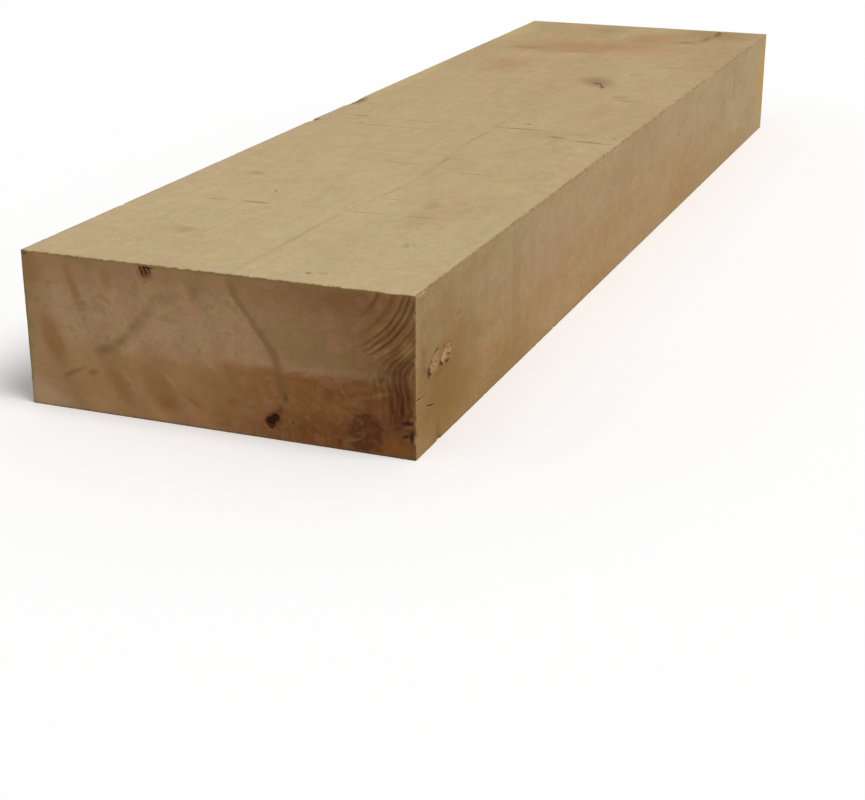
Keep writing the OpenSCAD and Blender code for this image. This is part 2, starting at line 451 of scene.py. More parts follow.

# The torn grain. Two tongues of wood came away side by side, and in each the saw lifted a
# splinter that is still rooted at its back. The gap is open at the front of each, with painted
# shade in it, and the splinters get pale flecks, a painted highlight.
# A tongue has its side of the middle, slope in degrees, lift, crest and width of gap.
tongue_length, tongue_height = torn_length / 2, torn_height * 0.6
tongue_reach = (torn_length - tongue_length * math.cos(torn_slope)) / 2
ball = ((torn_length * 0.65) ** 2 / 4 + torn_deep**2) / (2 * torn_deep)
upward = z - torn_place[2]
for side, slope, lift, crest, gap_width in ((-1, 34, -0.6, 1.9, 2.8), (1, 22, -1, -0.6, 1.8)):
    lengthwise = y - torn_place[1] - side * tongue_reach - 0.8
    a, b = turned(lengthwise, upward - lift, math.radians(slope))
    beyond = np.maximum(np.abs(a) - (tongue_length - tongue_height) / 2, 0)
    inside = tongue_height / 2 + 0.9 - np.hypot(beyond, b) + 0.5 * fuzz
    from_middle = np.hypot(lengthwise, upward)
    bowl = np.sqrt(np.maximum(ball**2 - from_middle**2, 0)) - ball + torn_deep
    open_here = ease(0.9 * b - a, -4, 6)
    splinter_top = 0.25 + 0.9 * np.exp(-((a / 5) ** 2)) * (1 - np.exp(-((b - crest) ** 2)))
    splinter_top += 0.55 * rough(place + 3, np.array([9, 2.6, 1.1]))
    hollow = np.maximum(bowl, 0) * ease(inside, -0.2, 0.9)
    raised = ease(inside - gap_width * open_here, -0.35, 0.35)
    depth = hollow * (1 - raised) + np.clip(splinter_top, 0, hollow) * raised
    shaded = open_here * ease(hollow, 0.1, 1.2) * ease(inside, 0, 0.6)
    sink(on_right, 0, 1, np.maximum(depth, 0), (1 - raised) * shaded)
    # Pale flecks on the lifted splinters: a painted highlight.
    flecks = ease(rough(place + 9, np.array([9, 2.4, 1.1])), 0, 0.5) * (0.7 + 0.3 * side)
    splinter_highlight = np.maximum(splinter_highlight, on_right * raised * ease(inside, 0, 1.5) * (0.12 + 0.88 * flecks))

beam = bpy.data.objects.new("oak_beam", block)
bpy.context.collection.objects.link(beam)
new_place = np.clip(new_place, low, high)
block.vertices.foreach_set("co", (new_place / to_mm).ravel())
block.shade_smooth()
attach(beam, "root")
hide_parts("beam")

# The way the grain runs. The heart of the tree lay outside the beam, above its right side,
# and sank towards the back. A burl just outside the near right corner turned the rings.
heart_x, heart_z, heart_sinks = 300, 190, 0.06
main_ring = 297.8
way_back = y - front
sway = sum(
    np.interp(
        way_back + step,
        [0, 75, 150, 250, 300, 375, 525, 610, 1000],
        [-8.6, -0.7, 4, 16.7, 15.5, 10, 12, 5.5, 0],
    )
    for step in (-20, 0, 20)
) / 3
waver = np.interp(z, [15, 30, 38, 46, 52, 64, 75, 86, 98], [3, 4, 7, 10.5, 12.5, 10.5, 7.5, 4, 3])
waver *= 1 - ease(way_back, 0, 120)
from_heart = np.stack([x - sway - waver - heart_x, z - heart_z + heart_sinks * way_back], axis=1)
ring = np.linalg.norm(from_heart, axis=1)
off_main = np.minimum(np.abs(ring - main_ring) / 25, 1)
ring += off_main * (3.5 * rough(place, np.array([45, 260, 45])) + 1.2 * rough(place, 17))
by_knot = np.exp(-(((x - 49) / 16) ** 2 + ((y - 150) / 42) ** 2 + ((z - top) / 20) ** 2))
ring += 5 * by_knot * np.tanh((x - 49) / 6)
around = np.arctan2(from_heart[:, 1], from_heart[:, 0]) * main_ring

# Round the burl the rings run down the right of the front end. Above it they fan out, as
# arcs about a point over the top edge. Beside it they drop with a slight wave. A ring is
# named by the place where it drops.
fan_x, fan_z, joint_z = 72, 114, 60
fanned = 105 + 1.66 * (np.hypot(x - fan_x, fan_z - z) - 66.6)
leaning = sum(
    np.interp(
        z + step,
        [20, 24, 29, 35, 39.5, 44, 50, 53, 56, 58, 60],
        [1, 1.2, 1.8, 2.4, 1.8, 0.9, 0, 0.3, 1.6, 3.4, 6],
    )
    for step in (-1, 0, 1)
) / 3
swirl = x - leaning + (fanned - x + leaning) * ease(z, joint_z - 3, joint_z + 3)
swirl += 0.7 * rough(place, 9) + (1.5 - 1.1 * ease(z, 20, 45)) * rough(place + 50, 4)
curl_fade = 15
curl_start = 100 - 8 * ease(z, 56, 64)
curled = ease(x + 2 * rough(place + 30, 6), curl_start, curl_start + curl_fade)
curled *= ease(z, 16, 26) * on_front
to_faces = np.sort(np.minimum(place - low, high - place), axis=1)
arris = 1 - ease(to_faces[:, 1], 0.2, 1.8)


def note(name, *values):
    """Keeps up to three values at every point of the wood, for its colours."""
    kept = np.zeros((len(place), 3))
    for column, value in enumerate(values):
        kept[:, column] = value
    block.attributes.new(name, "FLOAT_VECTOR", "POINT").data.foreach_set("vector", kept.ravel())


note("grain", ring, y, around)
note("swirl", swirl, on_end, curled)
note("pits", pit_shade, splinter_highlight, arris)

# A flat picture of the six faces, side by side, for when the colours are kept as an image.
# The two ends are drawn larger than the rest, because they have the finest marks. A face is
# known by the axis it looks along and the way it looks.
sheet = 1012
end_scale = 1.9
face_corner = {
    (2, 1): (2, 2),
    (2, -1): (266, 2),
    (0, 1): (530, 2),
    (0, -1): (634, 2),
    (1, -1): (740, 2),
    (1, 1): (740, 506),
}
loops = np.zeros(len(block.loops), int)
block.loops.foreach_get("vertex_index", loops)
drawn_at = np.zeros((len(loops), 2))
for face in block.polygons:
    span = list(face.loop_indices)
    at = place[loops[span]]
    spread = at.max(axis=0) - at.min(axis=0)
    axis = int(spread.argmin())
    way = 1 if at[0, axis] > (low[axis] + high[axis]) / 2 else -1
    inward = at - low
    if axis == 2:
        drawn = inward[:, [0, 1]]
    elif axis == 0:
        drawn = inward[:, [2, 1]]
    else:
        drawn = inward[:, [2, 0]] * end_scale
    drawn_at[span] = (drawn + face_corner[axis, way]) / sheet
block.uv_layers.new(name="OFBake").data.foreach_set("uv", drawn_at.ravel())

# The oak. Sawn green, it is a matt pale tan along the grain and browner on the cut ends,
# where the wood drinks in dirt. Colours are written as a painter mixes them, from 0 to 255.
wood = bpy.data.materials.new("sawn_oak")
wood.use_nodes = True
tree = wood.node_tree
shader = tree.nodes["Principled BSDF"]
shader.inputs["Roughness"].default_value = 0.9
shader.inputs["Specular IOR Level"].default_value = 0.12


def colour(red, green, blue):
    """Turns a mixed colour into the strength of light that it gives back."""
    parts = [part / 255 for part in (red, green, blue)]
    return (*[p / 12.92 if p < 0.04045 else ((p + 0.055) / 1.055) ** 2.4 for p in parts], 1)


def put(socket, value):
    """Sets a socket, or joins another one to it."""
    if isinstance(value, bpy.types.NodeSocket):
        tree.links.new(value, socket)
    else:
        socket.default_value = value


def worked(operation, *values):
    """One step of arithmetic on numbers."""
    step = tree.nodes.new("ShaderNodeMath")
    step.operation = operation
    for socket, value in zip(step.inputs, values):
        put(socket, value)
    return step.outputs[0]


def total(*values):
    """Adds up any number of values."""
    value = values[0]
    for other in values[1:]:
        value = worked("ADD", value, other)
    return value


def moved(operation, *values):
    """One step of arithmetic on places."""
    step = tree.nodes.new("ShaderNodeVectorMath")
    step.operation = operation
    for socket, value in zip(step.inputs, values):
        put(socket, value)
    return step.outputs["Value" if operation == "LENGTH" else "Vector"]


def share_of(value, first, last):
    """How far a value has come on its way from the first to the last."""
    return worked("DIVIDE", worked("SUBTRACT", value, first), last - first)


def between(value, start, end, low_value=0.0, high_value=1.0):
    """Runs smoothly from the low value at start to the high value at end."""
    span = tree.nodes.new("ShaderNodeMapRange")
    span.interpolation_type = "SMOOTHSTEP"
    span.clamp = False
    for socket, given in zip(span.inputs, (value, start, end, low_value, high_value)):
        put(socket, given)
    return span.outputs["Result"]


def bumps(where, size, detail=2.0, roughness=0.5, distortion=0.0, shift=0.0):
    """Cloudy bumps of the given size in mm, about a half in the middle."""
    spots = moved("MULTIPLY_ADD", where, tuple(1 / side for side in size), (shift,) * 3)
    cloud = tree.nodes.new("ShaderNodeTexNoise")
    put(cloud.inputs["Vector"], spots)
    cloud.inputs["Scale"].default_value = 1
    cloud.inputs["Detail"].default_value = detail
    cloud.inputs["Roughness"].default_value = roughness
    cloud.inputs["Distortion"].default_value = distortion
    return cloud.outputs["Fac"]


def swing(cloud, strength):
    """Turns cloudy bumps into a swing to either side of nothing."""
    return worked("MULTIPLY_ADD", cloud, strength, -strength / 2)


def mixed(amount, under, over):
    """Lays one colour over another."""
    mix = tree.nodes.new("ShaderNodeMix")
    mix.data_type = "RGBA"
    put(mix.inputs["Factor"], amount)
    put(mix.inputs["A"], under)
    put(mix.inputs["B"], over)
    return mix.outputs["Result"]


def brightened(under, factor):
    """Makes a colour lighter or darker by a factor."""
    shade = moved("SCALE", under)
    put(shade.node.inputs["Scale"], factor)
    return shade


def shades(value, *stops):
    """Reads a colour off a scale of places and colours."""
    scale = tree.nodes.new("ShaderNodeValToRGB")
    put(scale.inputs["Fac"], value)
    while len(scale.color_ramp.elements) < len(stops):
        scale.color_ramp.elements.new(0.5)
    for element, (position, shade) in zip(scale.color_ramp.elements, stops):
        element.position = position
        element.color = shade
    return scale.outputs["Color"]


def banded(value, first, last, bands):
    """Reads a brightness off a list of places, all between the first and the last."""
    stops = [((at - first) / (last - first), (level, level, level, 1)) for at, level in bands]
    return shades(share_of(value, first, last), *stops)


def kept(name):
    """Reads back what was noted at every point, as its three values and the whole."""
    read = tree.nodes.new("ShaderNodeAttribute")
    read.attribute_name = name
    parts = tree.nodes.new("ShaderNodeSeparateXYZ")
    tree.links.new(read.outputs["Vector"], parts.inputs[0])
    return (*parts.outputs, read.outputs["Vector"])


by_object = tree.nodes.new("ShaderNodeTexCoord").outputs["Object"]
spot = moved("MULTIPLY", by_object, (to_mm, to_mm, to_mm))
axes = tree.nodes.new("ShaderNodeSeparateXYZ")
tree.links.new(spot, axes.inputs[0])
across, along, up = axes.outputs
ring, _, _, grain = kept("grain")
swirl, end, curled, _ = kept("swirl")
pit_shade, splinter_highlight, arris, _ = kept("pits")


def shaken(amount, size, shift):
    """Places that are pushed about, so that a stain gets a ragged edge."""
    cloud = tree.nodes.new("ShaderNodeTexNoise")
    put(cloud.inputs["Vector"], moved("MULTIPLY_ADD", spot, (1 / size,) * 3, (shift,) * 3))
    cloud.inputs["Scale"].default_value = 1
    cloud.inputs["Detail"].default_value = 3
    push = moved("SUBTRACT", cloud.outputs["Color"], (0.5, 0.5, 0.5))
    return moved("MULTIPLY_ADD", push, (amount,) * 3, spot)


ragged = {"broad": shaken(34, 30, 2), "small": shaken(5, 4, 5), "fine": shaken(1.6, 1.3, 8)}


def stain(edge, face, a, b, half_a, half_b, turn, strength, core=0.1):
    """How strongly an oval stain on one face covers each point.

    It has a kind of edge, a face, its middle and half its sizes there in mm, a turn in degrees,
    a strength, and the share of it that is evenly strong.
    """
    thick = {"broad": 30, "small": 7, "fine": 4}[edge]
    middle, sizes, about = {
        "top": ((a, b, top), (half_a, half_b, thick), (0, 0, 1)),
        "front": ((a, front, b), (half_a, thick, half_b), (0, -1, 0)),
        "right": ((right, a, b), (thick, half_a, half_b), (1, 0, 0)),
    }[face]
    where = ragged[edge]
    if turn:
        turning = tree.nodes.new("ShaderNodeVectorRotate")
        put(turning.inputs["Vector"], where)
        turning.inputs["Center"].default_value = middle
        turning.inputs["Axis"].default_value = about
        turning.inputs["Angle"].default_value = -math.radians(turn)
        where = turning.outputs[0]
    shares = [(1 / size, -start / size) for start, size in zip(middle, sizes)]
    fitted = moved("MULTIPLY_ADD", where, *zip(*shares))
    return between(moved("LENGTH", fitted), 1.0, core, 0.0, strength)


def stained(under, tint, stains):
    """Lays one tint over the wood wherever any of the stains is."""
    cover = stain(*stains[0])
    for other in stains[1:]:
        cover = worked("MAXIMUM", cover, stain(*other))
    return mixed(cover, under, tint)


# Along the grain. The wood is palest at the back of its right side and more ochre in front.
# Over that lie patches of yellower and of pinker wood, soft streaks and short dark pores.
broad = bumps(spot, (80, 200, 60), 3, 0.6)
tints = bumps(spot, (26, 52, 26), 3, 0.6, shift=31)
patches = bumps(spot, (9, 15, 8), 3, 0.62, 0.5, shift=41)
small_tints = bumps(spot, (8, 13, 7), 3, 0.6, 0.5, shift=47)
streaks = bumps(grain, (5, 90, 26), 3, 0.55)
fibres = bumps(grain, (1.1, 9, 3), 2, 0.6, shift=7)
fuzzy = bumps(spot, (1.8, 2.6, 1.8), 2, 0.6, shift=73)
pores = bumps(grain, (0.5, 5, 0.9), 1, 0.5, shift=3)
strokes = bumps(spot, (14, 1.5, 14), 3, 0.6, shift=13)
saw_bands = bumps(spot, (110, 8, 110), 2, 0.6, shift=23)
on_side = between(across, right - 1.4, right - 0.3)
flat = mixed(
    on_side,
    shades(
        between(along, front, back),
        (0.00, colour(185, 165, 126)),
        (0.45, colour(182, 160, 121)),
        (0.75, colour(179, 156, 117)),
        (1.00, colour(172, 148, 108)),
    ),
    shades(
        share_of(along, front, back),
        (0.00, colour(168, 138, 95)),
        (0.12, colour(172, 143, 100)),
        (0.30, colour(186, 155, 114)),
        (0.72, colour(193, 166, 128)),
        (1.00, colour(192, 168, 126)),
    ),
)
ochre = worked("MULTIPLY", on_side, between(up, 86, 16, 0, 0.58))
flat = mixed(worked("MULTIPLY", ochre, between(along, 380, 120)), flat, colour(178, 132, 75))
flat = mixed(between(tints, 0.50, 0.64, 0, 0.26), flat, colour(194, 160, 130))
flat = mixed(between(tints, 0.49, 0.36, 0, 0.2), flat, colour(188, 164, 112))
flat = mixed(between(small_tints, 0.50, 0.62, 0, 0.24), flat, colour(190, 154, 128))
flat = mixed(between(small_tints, 0.49, 0.38, 0, 0.2), flat, colour(186, 166, 116))
flat = mixed(between(broad, 0.5, 0.66, 0, 0.22), flat, colour(194, 174, 136))
flat = mixed(between(broad, 0.48, 0.34, 0, 0.3), flat, colour(168, 142, 100))
ups_and_downs = total(
    1.0,
    swing(patches, 0.26),
    swing(streaks, 0.1),
    swing(fibres, 0.16),
    swing(fuzzy, 0.22),
    swing(strokes, 0.14),
    swing(saw_bands, 0.07),
    between(pores, 0.60, 0.74, 0, -0.16),
)
flat = brightened(flat, ups_and_downs)

# Stains along the grain: brown heartwood at the back left, a grey knot, the dirt that the saw
# dragged into its lines, and a yellow strip that dried first at the back right. Round the torn
# grain and the low chip on the right side, some dark marks are painted shadow.

# The heartwood
flat = stained(flat, colour(166, 126, 84), [
    ("broad", "top", -15, 350, 105, 56, 14, 0.66),
    ("broad", "top", 28, 425, 46, 70, -16, 0.6),
    ("broad", "top", -68, 225, 34, 62, 8, 0.4),
])

# Duller wood at the back of the top
flat = stained(flat, colour(150, 122, 84), [
    ("broad", "top", 82, 468, 60, 54, 0, 0.6),
    ("broad", "top", -30, 462, 30, 50, 0, 0.4),
])

# Ochre low on the side, strong in front and pale behind
flat = stained(flat, colour(150, 112, 60), [
    ("broad", "right", -455, 30, 84, 68, 0, 0.85),
    ("broad", "right", -350, 5, 110, 34, 0, 0.3),
])
flat = stained(flat, colour(180, 146, 100), [
    ("broad", "right", 330, 5, 200, 30, 0, 0.6),
])

# Darker brown in the heartwood, by the split and at the front of the side
flat = stained(flat, colour(142, 108, 76), [
    ("small", "top", -80, 327, 27, 15, 4, 0.5),
    ("small", "top", -25, 318, 40, 9, 2, 0.3),
    ("small", "top", 66, 413, 17, 12, 0, 0.6),
    ("small", "top", 78, 440, 7, 28, 3, 0.65),
    ("small", "top", 84, 476, 9, 30, 6, 0.4),
    ("small", "right", -488, 60, 8, 30, 0, 0.45),
    ("small", "right", -480, 22, 14, 10, 0, 0.35),
])

# Pinker wood
flat = stained(flat, colour(196, 152, 128), [
    ("broad", "top", -45, 285, 70, 26, 0, 0.32),
    ("broad", "top", 40, 330, 60, 60, 0, 0.3),
    ("small", "top", 42, 125, 16, 46, 24, 0.22),
    ("broad", "right", -250, 55, 90, 50, 0, 0.22),
    ("small", "right", -376, 86, 12, 6, 0, 0.4),
    ("small", "right", -487, 70, 5, 9, 0, 0.35),
])

# Yellower wood down the left edge and by the front end
flat = stained(flat, colour(196, 178, 118), [
    ("broad", "top", -128, 430, 26, 110, 0, 0.42),
    ("broad", "top", -126, 120, 14, 160, 0, 0.35),
    ("broad", "top", -10, -470, 130, 22, 0, 0.12),
    ("small", "right", -499, 60, 1.6, 52, 0, 0.4),
])

# The strip that dried first
flat = stained(flat, colour(204, 166, 102), [
    ("small", "right", 484, 56, 32, 64, 0, 0.85),
])

# Greener wood, most of it round the knot
flat = stained(flat, colour(172, 157, 112), [
    ("small", "top", 37, 188, 20, 36, 20, 0.55),
    ("small", "top", 64, 136, 14, 28, 20, 0.4),
    ("broad", "top", 118, -350, 22, 90, 0, 0.15),
    ("small", "right", -466, 66, 14, 10, 0, 0.35),
    ("small", "right", -395, 40, 24, 4, -12, 0.4),
])

# The brown of the knot, small soft marks in the top, and a band across the side
flat = stained(flat, colour(150, 122, 88), [
    ("small", "top", 41, 166, 22, 40, 24, 0.9),
    ("small", "top", 63, 212, 6, 8, 0, 0.5),
    ("small", "top", 80, 100, 13, 7, 0, 0.45),
    ("small", "top", 70, -340, 12, 4, 0, 0.5),
    ("small", "top", -60, -422, 14, 12, 0, 0.35),
    ("small", "right", -328, 50, 6, 90, 0, 0.32),
    ("small", "right", -322, 50, 12, 80, 0, 0.22),
])

# Grey smudges
flat = stained(flat, colour(152, 136, 98), [
    ("small", "top", -87, -267, 12, 9, 0, 0.6),
    ("small", "top", 65, -310, 9, 16, 0, 0.5),
    ("small", "top", 64, -478, 5, 5, 0, 0.4),
    ("small", "top", 60, -70, 30, 22, 0, 0.2),
    ("small", "right", -411, 50, 4, 60, 0, 0.3),
    ("fine", "right", -346, 60, 3, 60, 0, 0.25),
    ("small", "right", -290, 60, 5, 60, 0, 0.2),
    ("small", "right", 345, 67, 9, 15, 0, 0.45),
    ("small", "right", 300, 60, 6, 20, 0, 0.3),
])

# Dirt in the saw lines, darker marks along the split, and painted shadow beside and under the
# torn grain and in the low chip at the foot of the right side
flat = stained(flat, colour(124, 98, 60), [
    ("fine", "top", 40, -54.5, 32, 2.4, 3, 0.7),
    ("fine", "top", -40, -56, 50, 2.0, 1, 0.3),
    ("fine", "top", 90, -60, 16, 2.2, 0, 0.35),
    ("fine", "top", 78, -75, 12, 3.6, -14, 0.75),
    ("fine", "top", 107, -83.5, 26, 2.6, -5, 0.85),
    ("fine", "top", -60, -83, 66, 2.0, 0, 0.35),
    ("fine", "top", -100, -52, 14, 3, 0, 0.5),
    ("fine", "top", 42, -35, 4, 5, 0, 0.6),
    ("fine", "top", 121, -62, 2.4, 5, 0, 0.6),
    ("fine", "top", -49, -343, 15, 3.2, 0, 0.6),
    ("fine", "top", -78, -345, 14, 2.6, 0, 0.35),
    ("fine", "top", 30, -342, 20, 2.4, 0, 0.3),
    ("fine", "top", 0, -200, 30, 1.6, 2, 0.3),
    ("fine", "top", 60, -215, 16, 2.4, 0, 0.35),
    ("fine", "top", 86, -406, 2.6, 11, 22, 0.28),
    ("fine", "top", 90, -403, 2.2, 9, 22, 0.2),
    ("fine", "top", 55, -481, 2.6, 4, 20, 0.7),
    ("fine", "top", 34, -303, 14, 1.6, 0, 0.3),
    ("fine", "top", 90, 88, 20, 4, 2, 0.35),
    ("fine", "top", 86, 262, 30, 5, 2, 0.3),
    ("fine", "top", 82.5, 480, 5.4, 30, 6, 0.85),
    ("fine", "right", -431, 70, 7, 1.8, 8, 0.5),
    ("fine", "right", -488, 62, 3, 1.8, 0, 0.5),
    # Painted shadow beside and under the torn grain, and in the low chip at the foot of the side.
    ("fine", "right", -485, 50.5, 7, 2.6, -6, 0.5),
    ("fine", "right", -463, 43, 20, 3.2, 0, 0.45),
    ("fine", "right", -464, 1, 7, 7, 0, 0.7),
    ("small", "right", -466, 7, 5, 8, 0, 0.4),
])

# Fresh wood in the torn grain
flat = stained(flat, colour(184, 144, 110), [
    ("fine", "right", -470.5, 50.5, 11, 6, 30, 0.7),
    ("fine", "right", -452, 50, 10, 5, 20, 0.5),
])

# Painted shadow round its splinters, in the gaps under them
flat = stained(flat, colour(58, 32, 14), [
    ("fine", "right", -479.2, 47.6, 5.4, 5.2, 20, 1.0),
    ("fine", "right", -475, 53, 5.4, 2.6, 40, 0.85),
    ("fine", "right", -468, 57, 5.0, 2.2, 14, 0.75),
    ("fine", "right", -461.2, 47.6, 3.6, 3.2, 0, 0.9),
    ("fine", "right", -449.8, 45.4, 4.4, 2.0, 10, 0.8),
    ("fine", "right", -445.8, 48.8, 2.2, 2.4, 0, 0.5),
    ("fine", "right", -456, 56.6, 3.6, 1.3, 0, 0.5),
])

# One year stands out as a soft broken line along the top, and again down the front end.
soft_main = total(ring, swing(bumps(spot, (6, 14, 6), 3, 0.6, shift=55), 4))
soft_main = worked("ABSOLUTE", worked("SUBTRACT", soft_main, main_ring))
broken = bumps(spot, (6, 30, 6), 3, 0.6, shift=51)
main_line = worked("MULTIPLY", between(soft_main, 2.6, 0.5), between(broken, 0.40, 0.58, 0.2, 1))
main_line = worked("MULTIPLY", main_line, between(along, 130, -60, 0, 0.28))
flat = mixed(worked("MULTIPLY", main_line, between(up, 98, 99.5)), flat, colour(140, 116, 74))

# On the ends. The upper half is pale and the lower one more orange, and both darken towards
# the burl at the right. Short soft bands slant down along the years.
ragged_up = total(up, swing(bumps(spot, (24, 60, 10), 3, 0.6), 14))
softness = between(across, -30, 60, 8, 2.7)
lower = between(ragged_up, worked("ADD", 44, softness), worked("SUBTRACT", 44, softness))
from_left = share_of(across, left, right)
cut = mixed(
    lower,
    shades(
        from_left,
        (0.00, colour(176, 138, 94)),
        (0.08, colour(191, 156, 115)),
        (0.55, colour(192, 156, 115)),
        (1.00, colour(136, 93, 53)),
    ),
    shades(
        from_left,
        (0.00, colour(184, 148, 102)),
        (0.45, colour(180, 134, 88)),
        (0.72, colour(151, 99, 53)),
        (1.00, colour(120, 72, 36)),
    ),
)
cut = mixed(between(ragged_up, 74, 98, 0, 0.55), cut, colour(158, 119, 74))
low_right = worked("MULTIPLY", between(ragged_up, 26, 6, 0, 0.6), between(across, -40, 70))
cut = mixed(low_right, cut, colour(124, 70, 34))
inside_main = between(ring, main_ring + 1, main_ring - 5, 0, 0.35)
inside_main = worked("MULTIPLY", inside_main, between(up, 40, 62))
cut = mixed(inside_main, cut, colour(152, 118, 72))
pinker = bumps(spot, (13, 40, 11), 3, 0.6, 0.4, shift=9)
calmer = worked("MULTIPLY_ADD", lower, between(across, 30, 110, -0.1, -0.26), 0.46)
cut = mixed(between(pinker, 0.5, 0.63, 0, calmer), cut, colour(186, 136, 104))
cut = mixed(between(pinker, 0.49, 0.37, 0, calmer), cut, colour(160, 134, 84))
end_tints = bumps(spot, (6, 20, 5), 3, 0.62, 0.4, shift=19)
cut = mixed(between(end_tints, 0.5, 0.62, 0, 0.14), cut, colour(186, 132, 94))
cut = mixed(between(end_tints, 0.49, 0.38, 0, 0.14), cut, colour(158, 128, 78))
plain_ring = moved("LENGTH", moved("MULTIPLY_ADD", spot, (1, 0, 1), (-heart_x, 0, -heart_z)))
wandering = total(plain_ring, swing(bumps(spot, (22, 60, 22), 3, 0.55, shift=5), 9))
bands = banded(wandering, 310, 450, [
    (312, 0.5),
    (327, 0.25),
    (336, 0.75),
    (344, 0.3),
    (358, 0.75),
    (370, 0.25),
    (385, 0.8),
    (396, 0.3),
    (409, 0.5),
    (424, 0.85),
    (436, 0.2),
    (446, 0.5),
])
curl_lines = banded(swirl, 54, 130, [
    (55, 0.6),
    (58.4, 0.2),
    (62, 0.65),
    (68, 0.75),
    (72.8, 0.3),
    (76, 0.65),
    (80.2, 0.75),
    (82.4, 0.1),
    (85.5, 0.75),
    (88.2, 0.05),
    (91.3, 0.85),
    (94.2, 0.0),
    (97.5, 0.75),
    (101, 0.8),
    (103.2, 0.2),
    (105.2, 0.65),
    (107, 0.2),
    (110, 0.6),
    (112.4, 0.1),
    (114.4, 0.6),
    (116.2, 0.08),
    (117.8, 0.4),
    (119.6, 0.0),
    (121.6, 0.6),
    (123.8, 0.1),
    (126.5, 0.85),
    (129, 0.5),
])
ringed = tree.nodes.new("ShaderNodeCombineXYZ")
put(ringed.inputs[0], swirl)
put(ringed.inputs[1], worked("DIVIDE", up, 9))
fine_curls = bumps(ringed.outputs[0], (1.9, 1, 1), 2, 0.6, shift=3)
mottle = bumps(spot, (6, 40, 4.5), 4, 0.65, 0.5)
ups_and_downs = total(
    1.0,
    worked("MULTIPLY", swing(bands, 0.3), between(lower, 0, 1, 0.5, 1)),
    swing(mottle, 0.28),
    swing(bumps(spot, (1.2, 9, 1.0), 2, 0.6, shift=27), 0.2),
)
cut = brightened(cut, ups_and_downs)

# Paler patches on the front end
cut = stained(cut, colour(201, 167, 130), [
    ("broad", "front", -118, 8, 22, 15, 0, 0.8),
    ("small", "front", -91, 52, 8, 9, 0, 0.4),
    ("small", "front", -79, 62, 8, 7, 0, 0.4),
    ("small", "front", -103, 68, 5, 14, 16, 0.3),
    ("small", "front", -56, 45, 12, 3, 30, 0.5),
    ("small", "front", -34, 58, 18, 10, 30, 0.3),
    ("small", "front", 72, 48, 36, 3, 3, 0.18),
    ("small", "front", -3, 42, 8, 2.5, -45, 0.4),
    ("small", "front", -30, 28, 12, 2, -40, 0.35),
    ("small", "front", -59, 24, 2, 14, 30, 0.3),
])

# Orange bands, most of them slanting down along the years
cut = stained(cut, colour(162, 119, 73), [
    ("small", "front", -111, 44, 10, 23, 20, 0.75, 0.3),
    ("small", "front", -66, 21, 7.5, 26, 34, 0.75, 0.2),
    ("small", "front", -38, 20, 12, 27, 38, 0.7, 0.3),
    ("small", "front", -13, 18, 4.5, 19, 38, 0.5),
    ("small", "front", 9, 22, 9, 25, 35, 0.6, 0.2),
    ("small", "front", 30, 18, 5, 20, 36, 0.4),
    ("small", "front", -84, 20, 5, 20, 32, 0.35),
    ("small", "front", -94, 79, 5.5, 24, 20, 0.7),
    ("small", "front", -71, 89, 6, 14, 8, 0.5),
    ("small", "front", -122, 86, 9, 12, 0, 0.45),
    ("small", "front", 39, 54, 6, 12, 24, 0.42),
    ("small", "front", -90, 18, 22, 14, 0, 0.3),
])

# Browner spots in the lower half
cut = stained(cut, colour(150, 96, 48), [
    ("small", "front", -32, 13, 11, 7, -20, 0.5),
    ("small", "front", 12, 20, 6, 5, 0, 0.5),
    ("fine", "front", -16, 17, 12, 2.2, -37, 0.5),
    ("small", "front", 27, 30, 5, 4, 0, 0.3),
    ("small", "front", 48, 16, 6, 8, 0, 0.5),
    ("small", "front", 6, 5, 9, 3, 0, 0.4),
])

# The brown up the right side, then redder, pinker, more ochre and paler wood near the burl
cut = stained(cut, colour(129, 86, 49), [
    ("broad", "front", 119, 60, 24, 62, 6, 0.7),
    ("broad", "front", 112, 92, 40, 22, 30, 0.55),
    ("broad", "front", 84, 98, 52, 28, 0, 0.5),
    ("broad", "front", 104, 72, 30, 20, 40, 0.4),
])
cut = stained(cut, colour(116, 66, 38), [
    ("broad", "front", 118, 30, 20, 34, 0, 0.6),
    ("small", "front", 75, 32, 6, 8, 0, 0.4),
    ("small", "front", 109, 47, 4.5, 3, 60, 0.7),
    ("small", "front", 93, 43, 14, 3, 14, 0.5),
    ("small", "front", 104, 44, 2, 5, -14, 0.5),
    ("small", "front", 58, 10, 12, 8, 0, 0.35),
])
cut = stained(cut, colour(158, 104, 66), [
    ("small", "front", 108, 28, 9, 13, 0, 0.5),
    ("small", "front", 95, 41, 16, 4, 12, 0.4),
])
cut = stained(cut, colour(156, 104, 44), [
    ("small", "front", 118, 6, 14, 8, 0, 0.6),
    ("small", "front", 78, 24, 9, 10, 0, 0.3),
])
cut = stained(cut, colour(166, 126, 78), [
    ("small", "front", 108, 37.5, 8, 2.5, 16, 0.7),
    ("small", "front", 90, 30, 8, 4, 10, 0.35),
    ("small", "front", 81, 24, 5, 5, 0, 0.45),
    ("small", "front", 96, 34, 10, 2, 16, 0.4),
])

